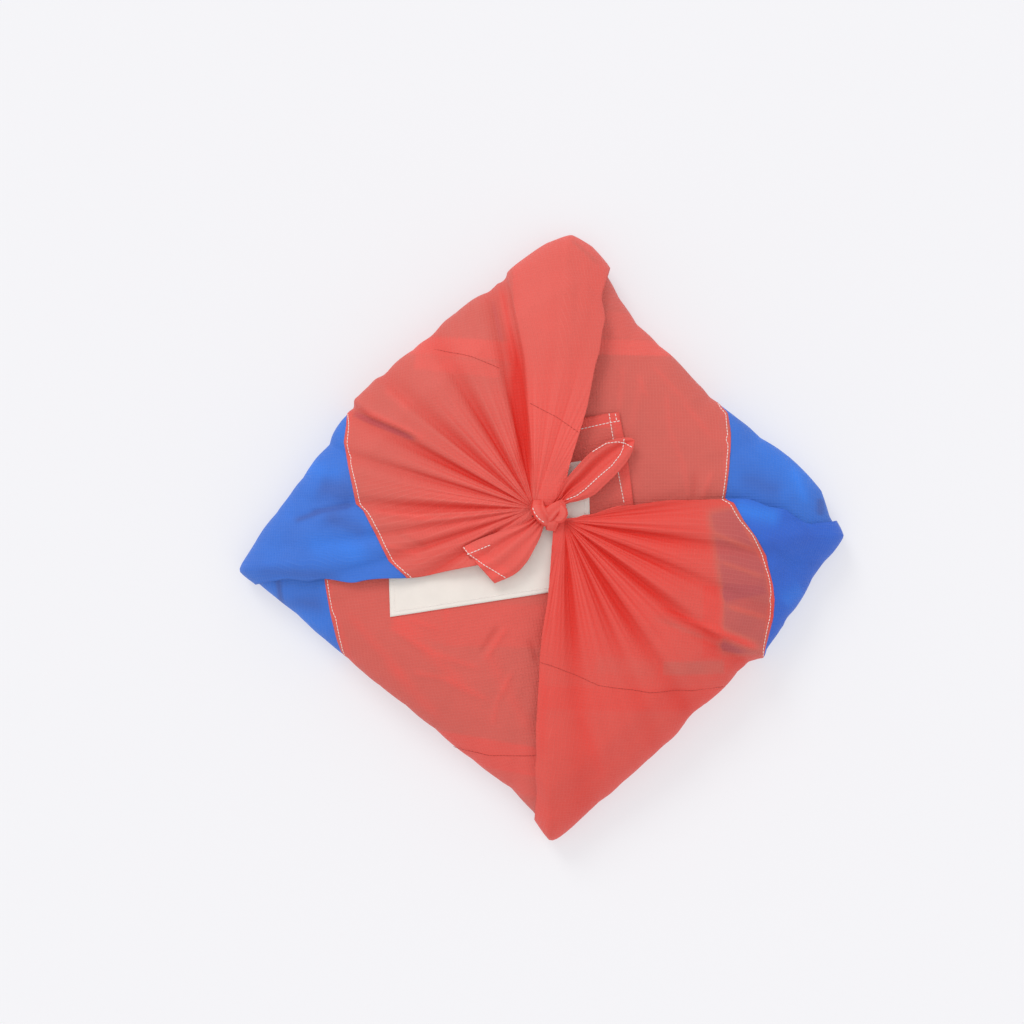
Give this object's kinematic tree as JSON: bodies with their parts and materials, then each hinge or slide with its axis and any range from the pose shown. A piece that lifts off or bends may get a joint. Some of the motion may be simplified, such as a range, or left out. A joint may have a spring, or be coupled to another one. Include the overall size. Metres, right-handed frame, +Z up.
{
  "type": "furoshiki wrap",
  "caption": "Square ripstop wrapping cloth tied round a soft flat bundle: two corners laid over it, the other two gathered to a square knot with free ends.",
  "frame": {"origin": "middle of the bounding box in plan, at the plane the bundle rests on", "axes": "+Z up, out of the knotted side; +X towards the blue corner at the right and +Y towards the far red corner, as the bundle is seen from above"},
  "size_m": [0.5796, 0.5773, 0.094],
  "materials": {
    "middle_ripstop": "thin woven nylon with a square ripstop grid, slight sheen",
    "red_ripstop": "thin half-sheer coral red nylon with a square ripstop grid, slight sheen",
    "blue_ripstop": "thin half-sheer blue nylon with a square ripstop grid, slight sheen",
    "cream_tape": "matte cream cotton tape, bare"
  },
  "bodies": {
    "root": {"bundle_body": "middle_ripstop", "front_flap_red": "red_ripstop", "front_flap_blue": "blue_ripstop", "back_flap_red": "red_ripstop", "back_flap_blue": "blue_ripstop", "left_fan_red": "red_ripstop", "left_fan_blue": "blue_ripstop", "right_fan_red": "red_ripstop", "right_fan_blue": "blue_ripstop", "knot": "red_ripstop", "left_tail": "red_ripstop", "right_tail": "red_ripstop", "label": "cream_tape"}
  },
  "joints": []
}
